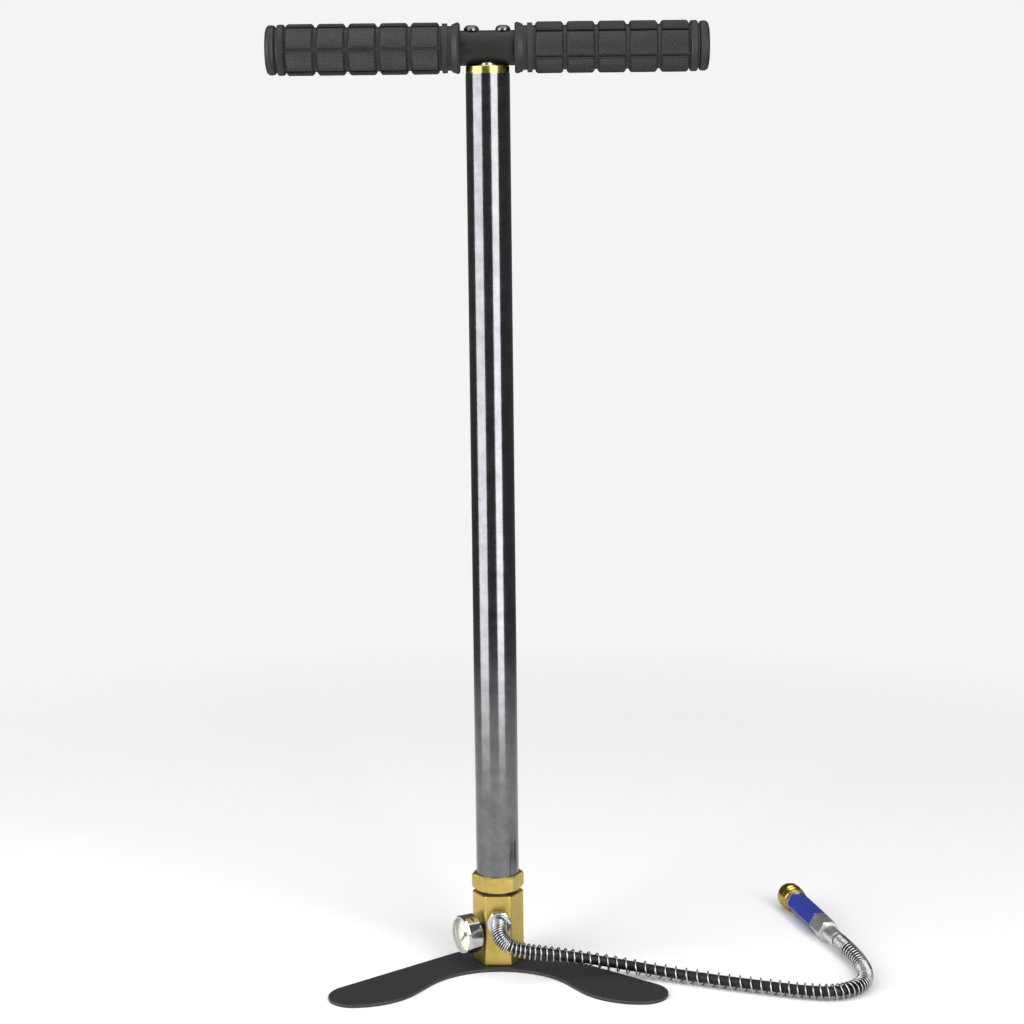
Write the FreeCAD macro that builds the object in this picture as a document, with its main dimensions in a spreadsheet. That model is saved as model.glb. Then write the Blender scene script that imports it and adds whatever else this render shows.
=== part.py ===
"""Hand-operated high-pressure air pump: FreeCAD 1.1 macro, millimetres.

The pump stands on z = 0 with its barrel on the z axis; -Y is the front, where the hose leaves.
A hexagonal valve block sits on a flat foot plate and carries the barrel, the gauge, the bleed
screw and the hose. The T-handle carries the middle tube, the first-stage piston and the plunger.
"""
import FreeCAD, Part
import math
import os
import Sketcher
from FreeCAD import Placement, Rotation, Vector

doc = FreeCAD.newDocument("HandPump")
sheet = doc.addObject("Spreadsheet::Sheet", "Dims")
SUBPARTS = []


# ---------------------------------------------------------------- sizes

class Size:
    """A length in millimetres that keeps the spreadsheet expression it comes from."""

    def __init__(self, value, text=None):
        self.value = float(value)
        self.text = text if text is not None else str(round(self.value, 6))

    @staticmethod
    def of(other):
        return other if isinstance(other, Size) else Size(other)

    def __add__(self, other):
        other = Size.of(other)
        return Size(self.value + other.value, "(%s + %s)" % (self.text, other.text))

    def __sub__(self, other):
        other = Size.of(other)
        return Size(self.value - other.value, "(%s - %s)" % (self.text, other.text))

    def __mul__(self, factor):
        return Size(self.value * factor, "(%s * %s)" % (self.text, factor))

    def __truediv__(self, divisor):
        return Size(self.value / divisor, "(%s / %s)" % (self.text, divisor))

    def __radd__(self, other):
        return Size.of(other) + self

    def __rsub__(self, other):
        return Size.of(other) - self


CELLS = []


def cell(alias, value):
    """Write one driving dimension to the sheet and give it back as a Size."""
    CELLS.append(alias)
    row = len(CELLS)
    sheet.set("A%d" % row, alias)
    sheet.set("B%d" % row, str(value))
    sheet.setAlias("B%d" % row, alias)
    return Size(value, "Dims." + alias)


PLATE_THICK = cell("plate_thickness", 2.0)
BLOCK_FLATS = cell("block_across_flats", 29.5)
BLOCK_HIGH = cell("block_height", 47.0)
SEAL_THICK = cell("base_seal_thickness", 2.0)
PLUG_FLATS = cell("base_plug_across_flats", 29.6)
PLUG_HIGH = cell("base_plug_hexagon_height", 10.5)
PLUG_TURN = cell("base_plug_turn_degrees", 5.6)
TUBE_OUTER = cell("outer_tube_diameter", 28.0)
TUBE_BORE = cell("outer_tube_bore", 25.0)
TUBE_LONG = cell("outer_tube_length", 519.8)
MIDDLE_OUTER = cell("middle_tube_diameter", 20.0)
MIDDLE_BORE = cell("middle_tube_bore", 17.0)
INNER_OUTER = cell("inner_tube_diameter", 12.0)
INNER_BORE = cell("inner_tube_bore", 7.0)
INNER_LONG = cell("inner_tube_length", 522.0)
PISTON_LIFT = cell("piston_clearance_at_rest", 1.5)
PISTON_HIGH = cell("piston_height", 20.0)
CAP_OUTER = cell("guide_cap_diameter", 27.5)
CAP_HIGH = cell("guide_cap_rim_height", 5.0)
CAP_DEEP = cell("guide_cap_bush_depth", 15.0)
BAR_OUTER = cell("crossbar_diameter", 22.0)
BAR_BORE = cell("crossbar_bore", 16.0)
BAR_LONG = cell("crossbar_length", 264.0)
GRIP_OUTER = cell("grip_diameter", 32.0)
GRIP_START = cell("grip_inner_end_from_axis", 17.2)
GRIP_BLOCK = cell("grip_block_length", 17.4)
GRIP_PITCH = cell("grip_block_pitch", 19.65)
SCREW_SPACE = cell("handle_screw_spacing", 19.8)
PORT_HIGH = cell("hose_port_height", 32.5)
PORT_SIDE = cell("hose_port_offset", 0.5)
UNION_FLATS = cell("hose_union_across_flats", 14.8)
GAUGE_HIGH = cell("gauge_height", 23.0)
GAUGE_OUTER = cell("gauge_diameter", 25.4)
GAUGE_DEEP = cell("gauge_case_depth", 8.7)
BLEED_HIGH = cell("bleed_screw_height", 25.0)
HOSE_OUTER = cell("hose_diameter", 6.4)
GUARD_OUTER = cell("hose_guard_diameter", 10.4)
GUARD_BORE = cell("hose_guard_bore", 8.0)
FERRULE_LONG = cell("hose_ferrule_length", 16.5)
HEX_LONG = cell("coupler_hexagon_length", 17.0)
SLEEVE_FLATS = cell("coupler_sleeve_across_flats", 13.5)
SLEEVE_LONG = cell("coupler_sleeve_length", 40.0)
COLLAR_OUTER = cell("coupler_collar_diameter", 18.0)
PROBE_BORE = cell("coupler_probe_bore", 8.1)
RUNNING = cell("running_clearance", 0.05)

# Heights of the main faces above the floor.
BLOCK_TOP = PLATE_THICK + BLOCK_HIGH
HEX_FOOT = BLOCK_TOP + SEAL_THICK
TUBE_FOOT = HEX_FOOT + PLUG_HIGH
TUBE_TOP = TUBE_FOOT + TUBE_LONG
CAP_TOP = TUBE_TOP + CAP_HIGH
BAR_AXIS = CAP_TOP + BAR_OUTER / 2

# Sizes that no other part of the sheet depends on.
SPIGOT_DEEP = 9.0           # how far the base plug reaches into the valve block
SPIGOT_HIGH = 12.0          # how far it reaches up into the outer tube
FOOT_SCREW_REACH = 9.0      # foot screws, either side of the barrel's axis
FOOT_HOLE = 2.6             # radius of the plate's screw holes
FOOT_SINK = 1.6             # depth and reach of their countersinks
BLOCK_CORNER = 2.4          # rounding of the valve block's upright edges
CHAMBER_RADIUS = 4.5        # valve chamber in the block
CHAMBER_FOOT = 19.0
SEAT_HIGH = 3.5
BALL_RADIUS = 2.25
BALL_DROP = 1.3             # the closed ball's centre below the foot of the seat
STUD_RADIUS = 6.0           # stem's thread in the handle
GRIP_FIRST = 13.0           # first knurled block, from the grip's inner end
GRIP_TAIL = 12.8            # rings beyond the last block
GRIP_BLOCKS = 5
GRIP_SEGMENTS = 6
GRIP_TURNS = {"left": 28.0, "right": 52.0}     # how far each grip was pushed on round the bar
PROBE_DEEP = 23.0           # how far a probe goes into the coupler
BALL_REACH = 1.25           # lock balls' centres, outside the probe's bore
COLLAR_LONG = 16.4

PLUG_FOOT = BLOCK_TOP - SPIGOT_DEEP
INNER_FOOT = PLUG_FOOT + 4.0
INNER_TOP = INNER_FOOT + INNER_LONG
PISTON_FOOT = TUBE_FOOT + SPIGOT_HIGH + PISTON_LIFT
STEM_FOOT = CAP_TOP - 10.3

FACE = BLOCK_FLATS / 2      # block axis to any of its flats


def on_flat(turn, high, side=0.0):
    """Frame of a port: origin on the block's axis, local z out through the flat at this turn."""
    aim = Rotation(Vector(0, 0, 1), turn) * Rotation(Vector(1, 0, 0), 90)
    place = Rotation(Vector(0, 0, 1), turn).multVec(Vector(side, 0, high))
    return Placement(place, aim)


FRONT_FRAME = on_flat(0, PORT_HIGH.value, PORT_SIDE.value)
GAUGE_FRAME = on_flat(-60, GAUGE_HIGH.value)
BLEED_FRAME = on_flat(180, BLEED_HIGH.value)

# The coupler lies on the floor behind the hose's bend and points away from the pump.
COUPLER_FRAME = Placement(
    Vector(222.6, 26.0, 7.8), Rotation(Vector(0, 0, 1), 14.2) * Rotation(Vector(1, 0, 0), -89.0)
)

# Route of the hose's centre line: out of the block, down over the plate, along the floor, back.
HOSE_ROUTE = [
    (0.5, -15.75, 32.5), (0.5, -25.75, 32.5), (0.8, -33.0, 29.2), (6.5, -36.0, 22.9),
    (17.5, -35.0, 19.7), (36.0, -33.0, 16.6), (60.0, -32.0, 12.6), (90.3, -32.8, 7.1),
    (120.4, -44.3, 5.55), (150.3, -56.7, 5.55), (176.4, -66.2, 5.55), (196.3, -72.9, 5.55),
    (211.5, -75.2, 5.55), (224.1, -70.1, 5.55), (232.8, -59.3, 5.55), (236.4, -45.2, 5.55),
    (236.4, -29.2, 5.8), (233.5, -12.0, 6.6), (228.0, 6.6, 7.3), (222.6, 26.0, 7.8),
]


# ---------------------------------------------------------------- document helpers

def bind(item, name, size):
    """Set one property and bind it to the sheet."""
    size = Size.of(size)
    item.setExpression(name, size.text)


def keep(item, label, frame=None):
    """Name a finished sub-part, put it in its place and list it for export."""
    item.Label = label
    if frame is not None:
        item.Placement = frame
    SUBPARTS.append(item)
    return item


def upright(item, height):
    """Stand an item on the z axis at a height bound to the sheet."""
    bind(item, "Placement.Base.z", height)
    return item


def plane(body, role):
    """One of a body's own origin planes."""
    return next(f for f in body.Origin.OriginFeatures if f.Role == role)


def new_sketch(body, role, name):
    sketch = body.newObject("Sketcher::SketchObject", name)
    sketch.AttachmentSupport = (plane(body, role), [""])
    sketch.MapMode = "FlatFace"
    return sketch


def pin_point(sketch, index, across, along):
    """Fix the start of line `index` at a point bound to the sheet."""
    for kind, axis, size in (("DistanceX", -2, across), ("DistanceY", -1, along)):
        size = Size.of(size)
        if abs(size.value) < 1e-9:
            sketch.addConstraint(Sketcher.Constraint("PointOnObject", index, 1, axis))
            continue
        number = sketch.addConstraint(Sketcher.Constraint(kind, -1, 1, index, 1, size.value))
        sketch.setExpression("Constraints[%d]" % number, size.text)


def outline(sketch, points):
    """Closed run of straight lines through points whose places are bound to the sheet."""
    corners = [Vector(Size.of(a).value, Size.of(b).value, 0) for a, b in points]
    for index, corner in enumerate(corners):
        following = corners[(index + 1) % len(corners)]
        sketch.addGeometry(Part.LineSegment(corner, following), False)
    for index in range(len(corners)):
        sketch.addConstraint(Sketcher.Constraint("Coincident", index, 2, (index + 1) % len(corners), 1))
    for index, (across, along) in enumerate(points):
        pin_point(sketch, index, across, along)


def turned(name, points):
    """Body of revolution about local z; points are (radius, height) round the half section."""
    body = doc.addObject("PartDesign::Body", name)
    sketch = new_sketch(body, "XZ_Plane", name + "_section")
    outline(sketch, points)
    turn = body.newObject("PartDesign::Revolution", name + "_turn")
    turn.Profile = sketch
    turn.ReferenceAxis = (sketch, ["V_Axis"])
    turn.Angle = 360
    return body


def sleeve(name, inner, outer, length):
    """Plain tube or washer between two radii, standing on its local z = 0."""
    return turned(name, [(inner, 0), (outer, 0), (outer, length), (inner, length)])


def cylinder(name, radius, length, start=0.0, frame=None):
    item = doc.addObject("Part::Cylinder", name)
    bind(item, "Radius", radius)
    bind(item, "Height", length)
    base = Placement(Vector(0, 0, Size.of(start).value), Rotation())
    item.Placement = frame * base if frame is not None else base
    return item


def ring(name, inner, section, height, frame=None):
    """O-ring of a given inner radius and section diameter, centred at a height on local z."""
    item = doc.addObject("Part::Torus", name)
    bind(item, "Radius1", Size.of(inner) + Size.of(section) / 2)
    bind(item, "Radius2", Size.of(section) / 2)
    base = Placement(Vector(0, 0, Size.of(height).value), Rotation())
    item.Placement = frame * base if frame is not None else base
    return item


def fuse(name, items):
    item = doc.addObject("Part::MultiFuse", name)
    item.Shapes = items
    return item


def cut(name, base, tools):
    """Base less all the tools."""
    item = doc.addObject("Part::Cut", name)
    item.Base = base
    item.Tool = tools[0] if len(tools) == 1 else fuse(name + "_tools", tools)
    return item


def hexagon(name, flats, length, both_ends=True):
    """Hexagonal bar on local z whose corners are turned off at one or both ends."""
    flats = Size.of(flats)
    radius = flats / 2
    corner = flats / math.sqrt(3)
    bevel = (corner - radius) * math.tan(math.radians(30))
    bar = doc.addObject("Part::Prism", name + "_bar")
    bar.Polygon = 6
    bind(bar, "Circumradius", corner)
    bind(bar, "Height", length)
    top_bevel = Size.of(length) - bevel
    points = [(0, 0), (radius, 0), (corner, bevel), (corner, top_bevel), (radius, length), (0, length)]
    if not both_ends:
        points[3:5] = [(corner, length)]
    item = doc.addObject("Part::Common", name)
    item.Base = bar
    item.Tool = turned(name + "_corners", points)
    return item


def copies(name, base, places):
    """Group of separate copies of one item, each at its own placement."""
    links = []
    for number, place in enumerate(places):
        link = doc.addObject("App::Link", "%s_%d" % (name, number + 1))
        link.LinkedObject = base
        link.Placement = place
        links.append(link)
    group = doc.addObject("Part::Compound", name)
    group.Links = links
    return group


# ---------------------------------------------------------------- foot and valve block

def rounded_loop(corners):
    """Edges of a closed outline: straight lines joined by tangent arcs at (x, y, radius) corners."""
    arcs = []
    for index, (x, y, radius) in enumerate(corners):
        here = Vector(x, y, 0)
        before = (Vector(*corners[index - 1][:2], 0) - here).normalize()
        after = (Vector(*corners[(index + 1) % len(corners)][:2], 0) - here).normalize()
        half = before.getAngle(after) / 2
        middle = (before + after).normalize()
        centre = here + middle * (radius / math.sin(half))
        reach = radius / math.tan(half)
        arcs.append((here + before * reach, centre - middle * radius, here + after * reach))
    edges = []
    for index, (start, middle, end) in enumerate(arcs):
        edges.append(Part.Arc(start, middle, end))
        edges.append(Part.LineSegment(end, arcs[(index + 1) % len(arcs)][0]))
    return edges


def edges_where(feature, wanted):
    """Names of the feature's edges that a test picks out."""
    return ["Edge%d" % (number + 1) for number, edge in enumerate(feature.Shape.Edges) if wanted(edge)]


def foot_plate():
    """Flat boomerang-shaped plate whose two rounded lobes reach forward on either side."""
    corners = [
        (0, 35, 49), (138.2, -78.6, 16.8), (66, -78.6, 46), (0, 25, 52), (-66, -78.6, 46),
        (-138.2, -78.6, 16.8),
    ]
    body = doc.addObject("PartDesign::Body", "foot_plate")
    sketch = new_sketch(body, "XY_Plane", "foot_outline")
    sketch.addGeometry(rounded_loop(corners), False)
    slab = body.newObject("PartDesign::Pad", "foot_slab")
    slab.Profile = sketch
    bind(slab, "Length", PLATE_THICK)
    holes = new_sketch(body, "XY_Plane", "foot_screw_holes")
    for side in (-1, 1):
        centre = Vector(side * FOOT_SCREW_REACH, 0, 0)
        holes.addGeometry(Part.Circle(centre, Vector(0, 0, 1), FOOT_HOLE), False)
    pocket = body.newObject("PartDesign::Pocket", "foot_holes")
    pocket.Profile = holes
    pocket.Type = "ThroughAll"
    pocket.Reversed = True
    doc.recompute()
    rim = 2 * math.pi * FOOT_HOLE
    sink = body.newObject("PartDesign::Chamfer", "foot_countersinks")
    low_rims = edges_where(pocket, lambda e: abs(e.Length - rim) < 0.01 and e.CenterOfMass.z < 0.01)
    sink.Base = (pocket, low_rims)
    sink.Size = FOOT_SINK
    doc.recompute()
    top = PLATE_THICK.value - 0.01
    easing = body.newObject("PartDesign::Fillet", "foot_top_edge")
    easing.Base = (sink, edges_where(sink, lambda e: e.Length > 1.1 * rim and e.BoundBox.ZMin > top))
    easing.Radius = 0.6
    body.Tip = easing
    return keep(body, "foot_plate")


def foot_screws():
    """Two countersunk screws, up through the plate into the valve block."""
    screw = turned("foot_screw", [(0, 0), (4.0, 0), (2.5, 1.5), (2.5, 12.0), (0, 12.0)])
    places = [Placement(Vector(side * FOOT_SCREW_REACH, 0, 0.2), Rotation()) for side in (-1, 1)]
    return keep(copies("foot_screws", screw, places), "foot_screws")


def valve_block():
    """Hexagonal block with a socket on top, a valve chamber and a port in three of its flats."""
    bar = doc.addObject("Part::Prism", "block_bar")
    bar.Polygon = 6
    bind(bar, "Circumradius", BLOCK_FLATS / math.sqrt(3))
    bind(bar, "Height", BLOCK_HIGH)
    doc.recompute()
    eased = doc.addObject("Part::Fillet", "block_eased")
    eased.Base = bar
    eased.Edges = [
        (number + 1, radius, radius)
        for number, edge in enumerate(bar.Shape.Edges)
        for radius in [BLOCK_CORNER if edge.BoundBox.ZLength > 1 else 0.9]
    ]
    eased.Placement = Placement(Vector(0, 0, PLATE_THICK.value), Rotation())
    socket = cylinder("block_socket", 10.0, SPIGOT_DEEP + 1, PLUG_FOOT)
    chamber = cylinder("block_chamber", CHAMBER_RADIUS, PLUG_FOOT - CHAMBER_FOOT + 0.5, CHAMBER_FOOT)
    bores = [socket, chamber]
    for number, side in enumerate((-1, 1)):
        place = Placement(Vector(side * FOOT_SCREW_REACH, 0, 0), Rotation())
        bores.append(cylinder("block_screw_hole_%d" % number, 2.55, 13.0, 0.0, place))
    for name, frame, radius, depth in (
        ("hose", FRONT_FRAME, 4.0, 6.0), ("gauge", GAUGE_FRAME, 3.0, 5.0), ("bleed", BLEED_FRAME, 3.05, 7.5),
    ):
        bores.append(cylinder("block_%s_port" % name, radius, depth + 1, FACE - depth, frame))
        bores.append(cylinder("block_%s_way" % name, 1.1, FACE, 0.0, frame))
    return keep(cut("valve_block", eased, bores), "valve_block")


def outlet_check_valve():
    """Seat, ball and spring of the one-way valve between the inner tube and the hose."""
    seat = turned("valve_seat", [
        (2.0, 0), (CHAMBER_RADIUS, 0), (CHAMBER_RADIUS, SEAT_HIGH), (1.25, SEAT_HIGH), (1.25, 0.6),
    ])
    keep(upright(seat, PLUG_FOOT - SEAT_HIGH), "valve_seat")
    ball = doc.addObject("Part::Sphere", "check_ball")
    bind(ball, "Radius", BALL_RADIUS)
    keep(upright(ball, PLUG_FOOT - SEAT_HIGH - BALL_DROP), "check_ball")
    coil_spring("check_spring", 2.0, 0.35, 6, CHAMBER_FOOT + 0.4, 12.2, None)


def round_section(edge, radius):
    """Circle square to the start of a path's first edge."""
    start = edge.valueAt(edge.FirstParameter)
    along = edge.tangentAt(edge.FirstParameter)
    return Part.Wire(Part.Circle(start, along, radius).toShape())


def coil_spring(label, radius, wire, turns, start, length, frame):
    """Open round-wire compression spring about local z."""
    path = Part.makeHelix(length / turns, length, radius)
    section = round_section(path.Edges[0], wire)
    shape = Part.Wire(path.Edges).makePipeShell([section], True, True)
    item = doc.addObject("Part::Feature", label)
    item.Shape = shape
    base = Placement(Vector(0, 0, start), Rotation())
    return keep(item, label, frame * base if frame is not None else base)


def base_seal():
    keep(upright(sleeve("base_seal", 10.0, PLUG_FLATS / 2 - 1.8, SEAL_THICK), BLOCK_TOP), "base_seal")


def base_plug():
    """Hexagon that joins the block to the barrel, with a spigot down and a spigot up."""
    nut = hexagon("plug_hexagon", PLUG_FLATS, PLUG_HIGH)
    nut.Placement = Placement(Vector(0, 0, HEX_FOOT.value), Rotation(Vector(0, 0, 1), PLUG_TURN.value))
    lower = cylinder("plug_lower_spigot", 10.0, SPIGOT_DEEP + SEAL_THICK, PLUG_FOOT)
    upper = cylinder("plug_upper_spigot", TUBE_BORE / 2, SPIGOT_HIGH, TUBE_FOOT)
    solid = fuse("plug_solid", [nut, lower, upper])
    way = cylinder("plug_way", 2.5, 10.0, PLUG_FOOT - 1)
    seat = cylinder("plug_tube_seat", INNER_OUTER / 2, 40.0, INNER_FOOT)
    groove = cylinder("plug_ring_groove", INNER_OUTER / 2 + 1.8, 2.0, TUBE_FOOT + 4)
    keep(cut("base_plug", solid, [way, seat, groove]), "base_plug")
    keep(ring("plug_o_ring", INNER_OUTER / 2, 1.8, TUBE_FOOT + 5), "plug_o_ring")


# ---------------------------------------------------------------- barrel

def barrel():
    """Outer tube, the brass guide cap on its top, and the felt wiper inside the cap."""
    keep(upright(sleeve("outer_tube", TUBE_BORE / 2, TUBE_OUTER / 2, TUBE_LONG), TUBE_FOOT), "outer_tube")
    bore = MIDDLE_OUTER / 2 + RUNNING
    rim = CAP_OUTER / 2
    top = CAP_DEEP + CAP_HIGH
    pocket = bore + 1.5
    cap = turned("guide_cap", [
        (bore, 0), (TUBE_BORE / 2, 0), (TUBE_BORE / 2, CAP_DEEP), (rim, CAP_DEEP), (rim, top - 0.6),
        (rim - 0.6, top), (bore, top), (bore, top - 1.5), (pocket, top - 1.5), (pocket, top - 3.5),
        (bore, top - 3.5),
    ])
    keep(upright(cap, TUBE_TOP - CAP_DEEP), "guide_cap")
    keep(upright(sleeve("guide_wiper", bore, pocket, 2.0), CAP_TOP - 3.5), "guide_wiper")


def inner_tube():
    """Fixed high-pressure tube and the brass head that the middle tube slides over."""
    keep(upright(sleeve("inner_tube", INNER_BORE / 2, INNER_OUTER / 2, INNER_LONG), INNER_FOOT), "inner_tube")
    wall = MIDDLE_BORE / 2 - RUNNING
    floor = wall - 1.6
    foot = INNER_OUTER / 2
    head = turned("inner_tube_head", [
        (foot, 0), (wall, 0), (wall, 4), (floor, 4), (floor, 6), (wall, 6), (wall, 15.4), (wall - 0.6, 16),
        (INNER_BORE / 2, 16), (INNER_BORE / 2, 10), (foot, 10),
    ])
    keep(upright(head, INNER_TOP - 10), "inner_tube_head")
    keep(ring("head_o_ring", floor, 1.6, INNER_TOP - 5), "head_o_ring")


# ---------------------------------------------------------------- moving column

def first_stage_piston():
    """Brass piston on the foot of the middle tube, with its two sliding rings and a rod seal."""
    outer = TUBE_BORE / 2 - RUNNING
    rod = INNER_OUTER / 2 + RUNNING
    tube = MIDDLE_OUTER / 2
    ring_floor = outer - 1.9
    band_floor = outer - 1.0
    body = turned("piston", [
        (rod, 0), (outer, 0), (outer, 2), (ring_floor, 2), (ring_floor, 4), (outer, 4), (outer, 12),
        (band_floor, 12), (band_floor, 17), (outer, 17), (outer, PISTON_HIGH), (tube, PISTON_HIGH), (tube, 8),
        (rod, 8), (rod, 7), (rod + 1.5, 7), (rod + 1.5, 5.4), (rod, 5.4),
    ])
    keep(upright(body, PISTON_FOOT), "piston")
    keep(ring("piston_rod_seal", rod, 1.5, PISTON_FOOT + 6.2), "piston_rod_seal")
    keep(ring("piston_o_ring", ring_floor + 0.2, 1.7, PISTON_FOOT + 3), "piston_o_ring")
    band = sleeve("piston_wear_ring", band_floor + 0.1, outer, 4.6)
    keep(upright(band, PISTON_FOOT + 12.2), "piston_wear_ring")


def middle_tube():
    foot = PISTON_FOOT + 8
    length = CAP_TOP - 0.1 - foot
    keep(upright(sleeve("middle_tube", MIDDLE_BORE / 2, MIDDLE_OUTER / 2, length), foot), "middle_tube")


def plunger():
    """Third-stage plunger that runs in the inner tube's bore, with a sealed tip."""
    radius = INNER_BORE / 2 - RUNNING
    tip_foot = INNER_FOOT + 2
    rod_foot = tip_foot + 8
    rod = cylinder("plunger", radius, STEM_FOOT + 8 - rod_foot, rod_foot)
    keep(rod, "plunger")
    floor = radius - 1.2
    tip = turned("plunger_tip", [
        (0, 0), (radius - 0.5, 0), (radius, 0.5), (radius, 2), (floor, 2), (floor, 3.4), (radius, 3.4),
        (radius, 8), (0, 8),
    ])
    keep(upright(tip, tip_foot), "plunger_tip")
    keep(ring("plunger_seal", floor, 1.2, tip_foot + 2.7), "plunger_seal")


def handle_stem():
    """Plug that closes the middle tube and screws up into the handle."""
    socket = INNER_BORE / 2 - RUNNING
    stem = turned("handle_stem", [
        (socket, 0), (MIDDLE_BORE / 2, 0), (MIDDLE_BORE / 2, 10.2), (STUD_RADIUS, 10.2), (STUD_RADIUS, 21),
        (0, 21), (0, 8), (socket, 8),
    ])
    keep(upright(stem, STEM_FOOT), "handle_stem")


# ---------------------------------------------------------------- handle

def lying(length, centre=0.0):
    """Placement that lays local z along +X, with the item's middle at x = centre on the bar axis."""
    start = Vector(centre - Size.of(length).value / 2, 0, BAR_AXIS.value)
    return Placement(start, Rotation(Vector(0, 1, 0), 90))


def crossbar():
    """Tubular bar of the T-handle, drilled below for the stem and spot-faced above for screws."""
    shell = sleeve("bar_shell", BAR_BORE / 2, BAR_OUTER / 2, BAR_LONG)
    shell.Placement = lying(BAR_LONG)
    tools = [cylinder("bar_stem_hole", STUD_RADIUS, 12.0, BAR_AXIS - 12)]
    for number, side in enumerate((-1, 1)):
        spot = Placement(Vector(side * SCREW_SPACE.value / 2, 0, 0), Rotation())
        tools.append(cylinder("bar_screw_hole_%d" % number, 2.5, 14.0, BAR_AXIS, spot))
        tools.append(cylinder("bar_spot_face_%d" % number, 4.9, 3.0, BAR_AXIS + BAR_OUTER / 2 - 0.3, spot))
    keep(cut("crossbar", shell, tools), "crossbar")


def handle_socket():
    """Round block inside the bar that the stem and both screws thread into."""
    length = 44.0
    block = cylinder("socket_block", BAR_BORE / 2, length, 0.0)
    block.Placement = lying(length)
    tools = [cylinder("socket_stem_hole", STUD_RADIUS, 20.0, STEM_FOOT + 1)]
    for number, side in enumerate((-1, 1)):
        spot = Placement(Vector(side * SCREW_SPACE.value / 2, 0, 0), Rotation())
        tools.append(cylinder("socket_screw_hole_%d" % number, 2.5, 14.0, BAR_AXIS - 3.5, spot))
    keep(cut("handle_socket", block, tools), "handle_socket")


def handle_screws():
    """Two button-head screws on top of the bar."""
    for side, word in ((-1, "left"), (1, "right")):
        name = "handle_screw_" + word
        blank = turned(name + "_blank", [
            (0, 0), (2.5, 0), (2.5, 14), (4.8, 14), (4.8, 15.2), (3.9, 16.7), (2.4, 17.4), (0, 17.4),
        ])
        key = doc.addObject("Part::Prism", name + "_key")
        key.Polygon = 6
        key.Circumradius = 1.75
        key.Height = 3
        key.Placement.Base.z = 15.4
        place = Placement(Vector(side * SCREW_SPACE.value / 2, 0, BAR_AXIS.value - 3.3), Rotation())
        keep(cut(name, blank, [key]), name, place)


def grip_section():
    """Half section of a grip from its inner end: flange, ring, five blocks, ring and rounded end."""
    crest = GRIP_OUTER / 2
    root = crest - 2.1
    face = crest - 0.2
    points = [
        (BAR_OUTER / 2, 0), (crest - 0.9, 0), (crest, 0.9), (crest, 2.0), (crest - 1.2, 5.1), (root, 5.1),
        (root, 7.9), (face - 0.3, 7.9), (face - 0.3, 11.1), (root, 11.1),
    ]
    for number in range(GRIP_BLOCKS):
        start = GRIP_PITCH * number + GRIP_FIRST
        end = start + GRIP_BLOCK
        points += [
            (root, start), (face - 0.9, start), (face, start + 0.9), (face, end - 0.9), (face - 0.9, end),
            (root, end),
        ]
    socket_end = BAR_LONG / 2 - GRIP_START
    swell = crest - 0.4
    points += [
        (root, end + 1.1), (face - 0.5, end + 1.1), (face + 0.1, end + 1.9), (face + 0.1, end + 4.9),
        (face - 0.5, end + 5.7), (root, end + 5.7), (root, end + 6.7), (swell - 1.4, end + 6.7),
        (swell - 0.4, end + 7.3), (swell, end + 8.6), (swell, end + 10.4), (swell - 0.5, end + 11.6),
        (swell - 1.5, end + 12.4), (swell - 3.0, end + GRIP_TAIL), (0, end + GRIP_TAIL), (0, socket_end),
        (BAR_OUTER / 2, socket_end),
    ]
    return points


def grips():
    """Moulded rubber grips: five blocks between collars, split lengthwise into segments."""
    floor = GRIP_OUTER.value / 2 - 1.9
    slotted = GRIP_PITCH.value * (GRIP_BLOCKS - 1) + GRIP_BLOCK.value
    for side, word in ((-1, "left"), (1, "right")):
        blank = turned(word + "_grip_blank", grip_section())
        slots = []
        for number in range(GRIP_SEGMENTS):
            slot = doc.addObject("Part::Box", "%s_grip_slot_%d" % (word, number + 1))
            slot.Length = 4
            slot.Width = 2
            slot.Height = slotted
            turn = Rotation(Vector(0, 0, 1), 360 / GRIP_SEGMENTS * number + GRIP_TURNS[word])
            slot.Placement = Placement(turn.multVec(Vector(floor, -1, GRIP_FIRST)), turn)
            slots.append(slot)
        grip = cut(word + "_grip", blank, slots)
        start = Vector(side * GRIP_START.value, 0, BAR_AXIS.value)
        frame = Placement(start, Rotation(Vector(0, 1, 0), side * 90))
        keep(grip, word + "_grip", frame)


# ---------------------------------------------------------------- gauge and bleed screw

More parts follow.
